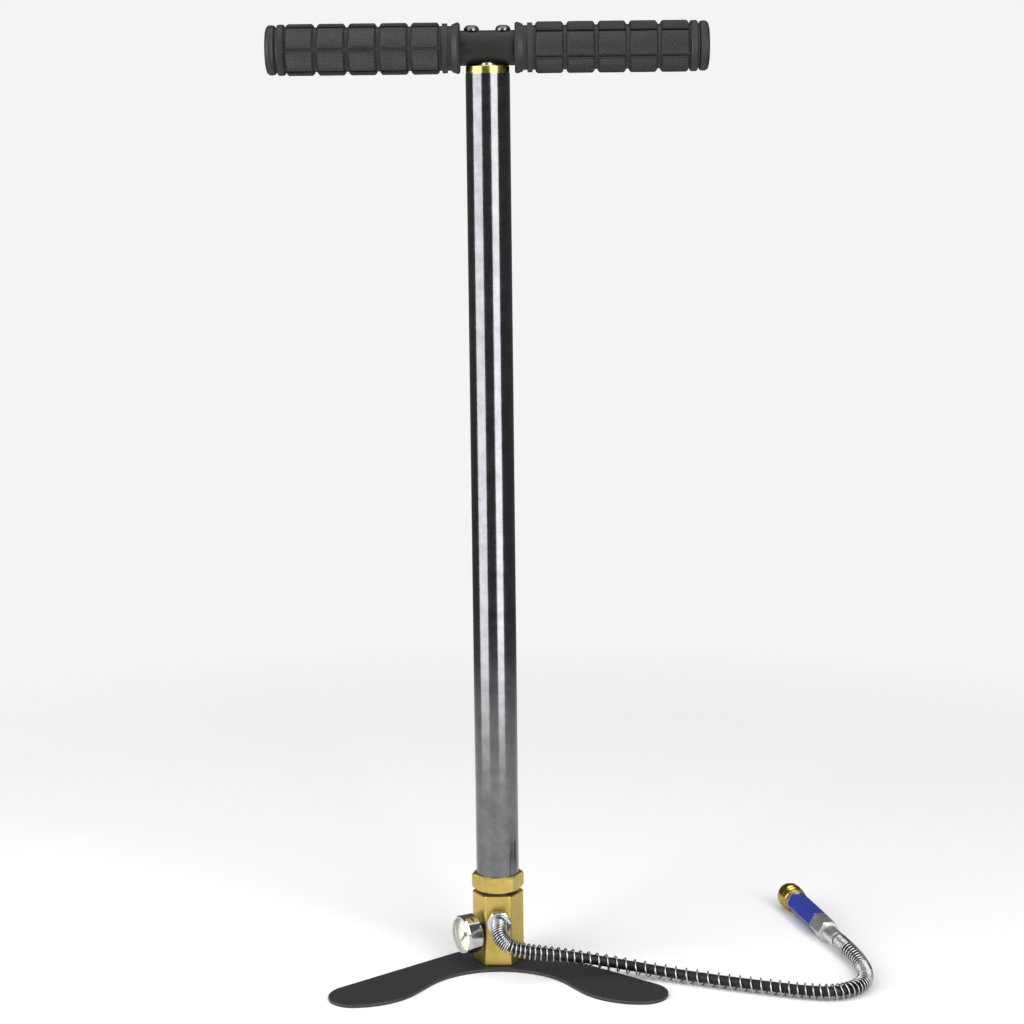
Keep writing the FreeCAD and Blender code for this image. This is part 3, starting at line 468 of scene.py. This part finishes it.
NODE_FINISHES: dict[Finish, tuple[str, ...]] = {
    GOLD_ALUMINIUM: ("valve_block", "base_plug"),
    GOLD_TURNED: ("guide_cap",),
    HONED_TUBE: ("outer_tube", "middle_tube", "plunger"),
    CHROME_PLATE: ("gauge_case", "gauge_bezel", "hose_union"),
    TURNED_STEEL: (
        "foot_screws", "check_ball", "inner_tube", "handle_stem", "handle_socket", "bleed_screw",
        "union_washer",
    ),
    COUPLER_STEEL: ("coupler_body", "coupler_balls", "hose_ferrule"),
    SPRING_WIRE: ("check_spring", "collar_spring"),
    TURNED_BRASS: (
        "valve_seat", "inner_tube_head", "piston", "plunger_tip", "gauge_stem", "gauge_movement",
        "bourdon_tube",
    ),
    COLLAR_BRASS: ("coupler_collar",),
    POWDER_COAT: ("foot_plate",),
    BAR_PAINT: ("crossbar",),
    BLACK_OXIDE: ("handle_screw_left", "handle_screw_right"),
    GRIP_RUBBER: ("left_grip", "right_grip"),
    SEAL_RUBBER: (
        "base_seal", "plug_o_ring", "head_o_ring", "piston_rod_seal", "piston_o_ring", "plunger_seal",
        "gauge_seal", "bleed_o_ring", "coupler_washer",
    ),
    BLUE_SLEEVE: ("coupler_sleeve",),
    WEAR_BAND: ("piston_wear_ring",),
    WIPER_FELT: ("guide_wiper",),
    DIAL_CARD: ("gauge_dial",),
    NEEDLE_PAINT: ("gauge_pointer",),
    DIAL_PANE: ("gauge_lens",),
}


# ---------------------------------------------------------------- hose

@dataclass
class GuardedHose:
    """The free hose and the steel coil that guards it from the union to the ferrule."""

    diameter_mm: float = 6.4
    guard_mm: float = 10.4
    wire_mm: float = 1.15
    guard_from_mm: float = 5.5      # the coil butts on the union's face
    ferrule_mm: float = 16.5        # and stops where the ferrule begins
    steps_per_turn: int = 18
    sag_mm: float = 0.35            # the coil hangs on the hose, so its lower side stands off more
    sag_fade: float = 10.0          # the sag grows in over a tenth of the hose at each end
    route_mm: tuple[Triple, ...] = (
        (0.5, -15.75, 32.5), (0.5, -25.75, 32.5), (0.8, -33.0, 29.2), (6.5, -36.0, 22.9),
        (17.5, -35.0, 19.7), (36.0, -33.0, 16.6), (60.0, -32.0, 12.6), (90.3, -32.8, 7.1),
        (120.4, -44.3, 5.55), (150.3, -56.7, 5.55), (176.4, -66.2, 5.55), (196.3, -72.9, 5.55),
        (211.5, -75.2, 5.55), (224.1, -70.1, 5.55), (232.8, -59.3, 5.55), (236.4, -45.2, 5.55),
        (236.4, -29.2, 5.8), (233.5, -12.0, 6.6), (228.0, 6.6, 7.3), (222.6, 26.0, 7.8),
    )
    # How far apart the turns are, in millimetres, by the share of the hose's length from the union:
    # closed at both ends, stretched along the floor and crowded in the far bend.
    pitch_by_share: tuple[tuple[float, float], ...] = (
        (0.0, 1.15), (0.072, 1.15), (0.075, 2.5), (0.1, 3.1), (0.137, 4.0), (0.184, 4.8), (0.242, 5.8),
        (0.312, 6.7), (0.39, 7.1), (0.429, 7.3), (0.51, 7.0), (0.58, 5.9), (0.638, 4.6), (0.686, 3.8),
        (0.719, 3.2), (0.747, 2.5), (0.78, 1.8), (0.81, 1.5), (0.828, 2.2), (0.838, 3.6), (0.892, 3.5),
        (0.909, 3.3), (0.916, 1.15), (1.0, 1.15),
    )

    def line(self, bevel: float) -> bpy.types.Curve:
        """Draw the hose's centre line as one smooth spline.

        Args:
            bevel: radius of the hose round it, or nothing to read the line alone.

        Returns:
            The curve data.
        """
        curve = bpy.data.curves.new("hose_line", "CURVE")
        curve.dimensions = "3D"
        curve.resolution_u = 24
        curve.bevel_depth = bevel
        curve.bevel_resolution = 8
        curve.use_fill_caps = True
        spline = curve.splines.new("NURBS")
        spline.points.add(len(self.route_mm) - 1)
        for point, place in zip(spline.points, self.route_mm):
            point.co = (*(MM * value for value in place), 1.0)
        spline.order_u = 3
        spline.use_endpoint_u = True
        return curve

    def trace(self) -> list[Vector]:
        """Read the points that the smooth line goes through."""
        mesh = mesh_of_curve(self.line(0.0))
        points = [vertex.co.copy() for vertex in mesh.vertices]
        bpy.data.meshes.remove(mesh)
        return points

    def pitch(self, share: float) -> float:
        """Distance between turns at a share of the hose's length, in metres."""
        for (start, low), (end, high) in zip(self.pitch_by_share, self.pitch_by_share[1:]):
            if share <= end:
                return MM * (low + (high - low) * (share - start) / (end - start))
        return MM * self.pitch_by_share[-1][1]

    def winding(self) -> list[Vector]:
        """Wind the guard's wire round the smooth line.

        Returns:
            The points that the middle of the wire goes through.
        """
        line = self.trace()
        gone = [0.0]
        for before, after in zip(line, line[1:]):
            gone.append(gone[-1] + (after - before).length)
        whole = gone[-1]
        radius = MM * (self.guard_mm - self.wire_mm) / 2
        half_wire = MM * self.wire_mm / 2
        across = Vector((0.0, 0.0, 1.0))
        place = MM * self.guard_from_mm + half_wire
        stop = whole - MM * self.ferrule_mm - half_wire
        turn = 2 * math.pi / self.steps_per_turn
        first = place
        room = whole / self.sag_fade
        angle = 0.0
        at = 0
        wound = []
        while place < stop:
            while gone[at + 1] < place:
                at += 1
            along = (line[at + 1] - line[at]).normalized()
            share = (place - gone[at]) / (gone[at + 1] - gone[at])
            centre = line[at].lerp(line[at + 1], share)
            across = (across - along * across.dot(along)).normalized()
            side = along.cross(across)
            slack = min(1.0, max(0.0, (place - first) / room), max(0.0, (stop - place) / room))
            centre.z -= MM * self.sag_mm * slack
            wound.append(centre + (across * math.cos(angle) + side * math.sin(angle)) * radius)
            angle += turn
            place += self.pitch(place / whole) / self.steps_per_turn
        return wound

    def coil(self) -> bpy.types.Mesh:
        """Make the guard's wire as a round tube."""
        wound = self.winding()
        curve = bpy.data.curves.new("guard_wire", "CURVE")
        curve.dimensions = "3D"
        curve.bevel_depth = MM * self.wire_mm / 2
        curve.bevel_resolution = 2
        curve.use_fill_caps = True
        spline = curve.splines.new("POLY")
        spline.points.add(len(wound) - 1)
        for point, spot in zip(spline.points, wound):
            point.co = (*spot, 1.0)
        mesh = mesh_of_curve(curve)
        mesh.polygons.foreach_set("use_smooth", [True] * len(mesh.polygons))
        return mesh

    def build(self) -> None:
        guard = add_piece(
            "spring_guard", self.coil(), SPRING_WIRE, Body.BASE, ("hose_guard",),
        )
        hose = add_object("air_hose", self.line(MM * self.diameter_mm / 2))
        HOSE_JACKET.dress(hose)
        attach(hose, Body.BASE.value)
        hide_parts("hose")
        line = self.trace()


# ---------------------------------------------------------------- grips

@dataclass
class GripKnurl:
    """Fine diamond knurl moulded on the blocks of one grip."""

    name: str
    side: int                       # -1 for the left grip, 1 for the right
    groove_degrees: float           # height of one lengthwise groove above the front, seen from the end
    bar_height_mm: float = 597.3
    face_radius_mm: float = 15.8
    first_mm: float = 30.2          # first block's inner end from the barrel's axis
    pitch_mm: float = 19.65
    block_mm: float = 17.4
    blocks: int = 5
    segments: int = 6
    diamond_mm: float = 1.25        # moulded at about 1.0, drawn a little coarser so that it shows
    height_mm: float = 0.42
    edge_mm: float = 1.1            # plain rim left round each pad
    groove_mm: float = 2.0          # width of the lengthwise grooves
    cut_tolerance: float = 1e-5

    def pad(self) -> bmesh.types.BMesh:
        """One knurled pad, flat, with x along the bar and y round it.

        Returns:
            A closed pad whose underside is at z = 0, in millimetres.
        """
        long = self.block_mm - 2 * self.edge_mm
        wide = 2 * math.pi * self.face_radius_mm / self.segments - self.groove_mm - 2 * self.edge_mm
        reach = math.hypot(long, wide) / 2
        cells = math.ceil(2 * reach / self.diamond_mm)
        made = bmesh.new()
        bmesh.ops.create_grid(made, x_segments=cells, y_segments=cells, size=cells * self.diamond_mm / 2)
        diagonal = Matrix.Rotation(math.pi / 4, 3, "Z")
        bmesh.ops.rotate(made, verts=made.verts, cent=(0, 0, 0), matrix=diagonal)
        bmesh.ops.poke(made, faces=made.faces, offset=self.height_mm)
        for normal, far in (((1, 0, 0), long), ((-1, 0, 0), long), ((0, 1, 0), wide), ((0, -1, 0), wide)):
            bmesh.ops.bisect_plane(
                made, geom=made.verts[:] + made.edges[:] + made.faces[:], dist=self.cut_tolerance,
                plane_co=Vector(normal) * far / 2, plane_no=normal, clear_outer=True,
            )
        rim = [edge for edge in made.edges if edge.is_boundary]
        skirt = bmesh.ops.extrude_edge_only(made, edges=rim)["geom"]
        for vert in (item for item in skirt if isinstance(item, bmesh.types.BMVert)):
            vert.co.z = -self.height_mm
        bmesh.ops.contextual_create(made, geom=[edge for edge in made.edges if edge.is_boundary])
        bmesh.ops.recalc_face_normals(made, faces=made.faces)
        return made

    def build(self) -> None:
        """Wrap a pad round every block and segment of the grip."""
        radius = self.face_radius_mm
        whole = bmesh.new()
        pattern = mesh_of_shape("pad", self.pad())
        for block in range(self.blocks):
            middle = self.first_mm + self.pitch_mm * block + self.block_mm / 2
            for segment in range(self.segments):
                before = len(whole.verts)
                whole.from_mesh(pattern)
                whole.verts.ensure_lookup_table()
                centre = math.radians(self.groove_degrees + 360 / self.segments * (segment + 0.5))
                for vert in whole.verts[before:]:
                    angle = centre + vert.co.y / radius
                    out = radius + vert.co.z
                    vert.co = Vector((
                        self.side * (middle + vert.co.x), -out * math.cos(angle),
                        self.bar_height_mm + out * math.sin(angle),
                    )) * MM
        bpy.data.meshes.remove(pattern)
        bmesh.ops.recalc_face_normals(whole, faces=whole.faces)
        add_piece(self.name, whole, GRIP_RUBBER, Body.HANDLE)


# ---------------------------------------------------------------- gauge

@dataclass
class DialPrint:
    """Generic scale printed on the gauge's dial: marks, numbers and coloured bands."""

    out: Triple = (-0.8660254, -0.5, 0.0)   # the way that the dial faces
    height_mm: float = 23.0
    face_mm: float = 24.35          # the dial's face, from the barrel's axis
    film_mm: float = 0.05
    zero_degrees: float = 225.0
    sweep_degrees: float = 270.0
    majors: int = 5                 # numbered steps, and marks to each step
    minors: int = 25
    rim_mm: float = 10.2            # the fine circle that the marks hang from
    fine_mm: float = 0.18
    bold_mm: float = 0.34
    major_from_mm: float = 8.3
    minor_from_mm: float = 9.3
    number_at_mm: float = 6.7
    number_high_mm: float = 2.3
    band_mm: tuple[float, float] = (7.9, 8.9)
    safe_from: float = 0.42         # the green band's start and end, as shares of the scale
    safe_to: float = 0.8

    def frame(self) -> Matrix:
        """The dial's own axes in the frame, with x to the right and y up on its face."""
        out = Vector(self.out)
        up = Vector((0.0, 0.0, 1.0))
        right = up.cross(out)
        turned = Matrix((right, up, out)).transposed().to_4x4()
        return Matrix.Translation(out * self.face_mm * MM + up * self.height_mm * MM) @ turned

    def angle(self, share: float) -> float:
        """Direction of a share of the scale, in radians from the dial's x."""
        return math.radians(self.zero_degrees - self.sweep_degrees * share)

    def band(self, start: float, end: float, inner: float, outer: float, steps: int) -> bmesh.types.BMesh:
        """A printed arc.

        Args:
            start: where it starts, as a share of the scale.
            end: where it ends.
            inner: inner radius in millimetres.
            outer: outer radius in millimetres.
            steps: number of steps round it.

        Returns:
            A closed thin solid on the dial, in millimetres.
        """
        made = bmesh.new()
        first = self.angle(start)
        corners = [(inner, 0.0), (outer, 0.0), (outer, self.film_mm), (inner, self.film_mm)]
        verts = [
            made.verts.new((radius * math.cos(first), radius * math.sin(first), high))
            for radius, high in corners
        ]
        section = made.faces.new(verts)
        bmesh.ops.spin(
            made, geom=[section, *section.edges, *section.verts], cent=(0, 0, 0), axis=(0, 0, -1),
            angle=first - self.angle(end), steps=steps, use_merge=False, use_duplicate=False,
        )
        bmesh.ops.recalc_face_normals(made, faces=made.faces)
        return made

    def mark(self, share: float, inner: float, thick: float) -> bmesh.types.BMesh:
        """One radial mark of the scale, in millimetres."""
        made = bmesh.new()
        bmesh.ops.create_cube(made, size=1.0)
        long = self.rim_mm - inner
        middle = ((self.rim_mm + inner) / 2, 0, self.film_mm / 2)
        turned = Matrix.Rotation(self.angle(share), 3, "Z")
        bmesh.ops.scale(made, verts=made.verts, vec=(long, thick, self.film_mm))
        bmesh.ops.translate(made, verts=made.verts, vec=middle)
        bmesh.ops.rotate(made, verts=made.verts, cent=(0, 0, 0), matrix=turned)
        return made

    def number(self, text: str, share: float) -> bpy.types.Mesh:
        """One number of the scale, centred inside its mark."""
        curve = bpy.data.curves.new("number", "FONT")
        curve.body = text
        curve.size = self.number_high_mm
        curve.align_x = "CENTER"
        curve.align_y = "CENTER"
        curve.extrude = self.film_mm / 2
        mesh = mesh_of_curve(curve)
        angle = self.angle(share)
        away = self.number_at_mm
        mesh.transform(Matrix.Translation((away * math.cos(angle), away * math.sin(angle), self.film_mm / 2)))
        return mesh

    def build(self) -> None:
        """Print the scale on the dial."""
        shapes = [self.band(0, 1, self.rim_mm, self.rim_mm + self.fine_mm, 60)]
        for step in range(self.minors + 1):
            if step % self.majors == 0:
                inner, thick = self.major_from_mm, self.bold_mm
            else:
                inner, thick = self.minor_from_mm, self.fine_mm
            shapes.append(self.mark(step / self.minors, inner, thick))
        prints = [mesh_of_shape("print", shape) for shape in shapes]
        prints += [self.number(str(step), step / self.majors) for step in range(self.majors + 1)]
        ink = bmesh.new()
        for mesh in prints:
            ink.from_mesh(mesh)
            bpy.data.meshes.remove(mesh)
        place = self.frame()
        bands = {
            "dial_scale": (ink, DIAL_INK),
            "dial_green_band": (self.band(self.safe_from, self.safe_to, *self.band_mm, 30), DIAL_GREEN),
            "dial_red_band": (self.band(self.safe_to, 1.0, *self.band_mm, 20), DIAL_RED),
        }
        for name, (shape, finish) in bands.items():
            bmesh.ops.scale(shape, verts=shape.verts, vec=(MM, MM, MM))
            bmesh.ops.transform(shape, matrix=place, verts=shape.verts)
            add_piece(name, shape, finish, Body.BASE)


# ---------------------------------------------------------------- studio

@dataclass
class Softbox:
    """One rectangular soft light, aimed at a point."""

    name: str
    place: Triple
    aim: Triple
    wide: float
    high: float
    watts: float

    def build(self) -> None:
        """Hang the light, out of the camera's sight."""
        data = bpy.data.lights.new(self.name, "AREA")
        data.shape = "RECTANGLE"
        data.size = self.wide
        data.size_y = self.high
        data.energy = self.watts
        held = add_object(self.name, data)
        held.location = self.place
        held.rotation_euler = (Vector(self.aim) - Vector(self.place)).to_track_quat("-Z", "Y").to_euler()
        held.visible_camera = False


@dataclass
class Studio:
    """Pale floor, pale surroundings, soft lights and the camera."""

    floor_radius: float = 0.95
    fade_from: float = 0.45         # the floor fades between these shares of its radius
    fade_to: float = 0.98
    floor_gap: float = 0.0002       # keeps the floor clear of the plate's underside
    pale: str = "#f4f4f4"
    dim: str = "#666666"
    eye: Triple = (0.01276, -1.418, 0.539)
    tilt_degrees: float = 7.4       # looking down
    roll: float = 0.01146           # clockwise, in radians
    lens_mm: float = 78.2
    sensor_mm: float = 36.0
    lift: float = -0.08
    lights: tuple[Softbox, ...] = (
        Softbox("left_box", (-1.55, -0.95, 0.6), (0.0, 0.0, 0.45), 1.7, 2.7, 60.0),
        Softbox("right_box", (0.98, -1.5, 0.6), (0.0, 0.0, 0.45), 1.15, 2.7, 50.0),
        Softbox("top_box", (0.0, -0.2, 2.4), (0.0, 0.1, 0.0), 3.0, 3.0, 40.0),
    )

    def floor(self) -> None:
        """Lay a round matte floor that fades out towards its rim."""
        shape = bmesh.new()
        bmesh.ops.create_circle(shape, cap_ends=True, segments=96, radius=self.floor_radius)
        mesh = mesh_of_shape("floor", shape)
        laid = add_object("floor", mesh)
        laid.location.z = -self.floor_gap
        material = bpy.data.materials.new("pale_floor")
        material.use_nodes = True
        tree = material.node_tree
        tree.nodes.clear()
        place = add_node(tree, "ShaderNodeTexCoord").outputs["Object"]
        far = add_node(tree, "ShaderNodeVectorMath", {"operation": "LENGTH"}, {0: place})
        fade = add_node(
            tree, "ShaderNodeMapRange",
            {
                "From Min": self.fade_from * self.floor_radius, "From Max": self.fade_to * self.floor_radius,
                "To Min": 1.0, "To Max": 0.0,
            },
            {"Value": far.outputs["Value"]},
        )
        shader = add_node(
            tree, "ShaderNodeBsdfPrincipled",
            {"Base Color": linear(self.pale), "Roughness": 0.75, "Specular IOR Level": 0.2},
            {"Alpha": fade.outputs["Result"]},
        )
        add_node(tree, "ShaderNodeOutputMaterial", links={"Surface": shader.outputs["BSDF"]})
        mesh.materials.append(material)

    def surroundings(self) -> None:
        """Pale to look at, dim as a light, so polished metal keeps its dark reflections."""
        world = bpy.data.worlds.new("studio")
        world.use_nodes = True
        tree = world.node_tree
        tree.nodes.clear()
        seen = add_node(tree, "ShaderNodeBackground", {"Color": linear(self.pale)})
        lighting = add_node(tree, "ShaderNodeBackground", {"Color": linear(self.dim)})
        path = add_node(tree, "ShaderNodeLightPath")
        both = add_node(
            tree, "ShaderNodeMixShader",
            links={0: path.outputs["Is Camera Ray"], 1: lighting.outputs[0], 2: seen.outputs[0]},
        )
        add_node(tree, "ShaderNodeOutputWorld", links={"Surface": both.outputs[0]})
        bpy.context.scene.world = world

    def camera(self) -> None:
        """Set the camera up."""
        data = bpy.data.cameras.new("camera")
        data.lens = self.lens_mm
        data.sensor_width = self.sensor_mm
        data.shift_y = self.lift
        data.dof.use_dof = False
        held = add_object("camera", data)
        tilt = math.radians(self.tilt_degrees)
        ahead = Vector((0.0, math.cos(tilt), -math.sin(tilt)))
        level = Vector((1.0, 0.0, 0.0))
        upward = Vector((0.0, math.sin(tilt), math.cos(tilt)))
        right = level * math.cos(self.roll) - upward * math.sin(self.roll)
        top = level * math.sin(self.roll) + upward * math.cos(self.roll)
        turned = Matrix((right, top, -ahead)).transposed().to_4x4()
        held.matrix_world = Matrix.Translation(self.eye) @ turned
        bpy.context.scene.camera = held

    def build(self) -> None:
        """Build the whole studio."""
        self.camera()
        self.floor()
        self.surroundings()
        for light in self.lights:
            light.build()
        bpy.context.scene.view_settings.view_transform = "Standard"


# ---------------------------------------------------------------- the pump

def dress_frame(nodes: dict[str, bpy.types.Object]) -> None:
    """Give every CAD node its finish.

    Args:
        nodes: the frame's nodes by name.
    """
    for finish, names in NODE_FINISHES.items():
        for name in names:
            finish.dress(nodes[name])
            LOG.info("node %s: %s", name, finish.name)


def main() -> None:
    """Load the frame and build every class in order."""
    logging.basicConfig(level=logging.INFO, format="%(name)s %(message)s", force=True)
    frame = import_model()
    Studio().build()
    dress_frame(frame["nodes"])
    GuardedHose().build()
    GripKnurl("left_knurl", -1, -2.0).build()
    GripKnurl("right_knurl", 1, -22.0).build()
    DialPrint().build()


if __name__ == "__main__":
    main()
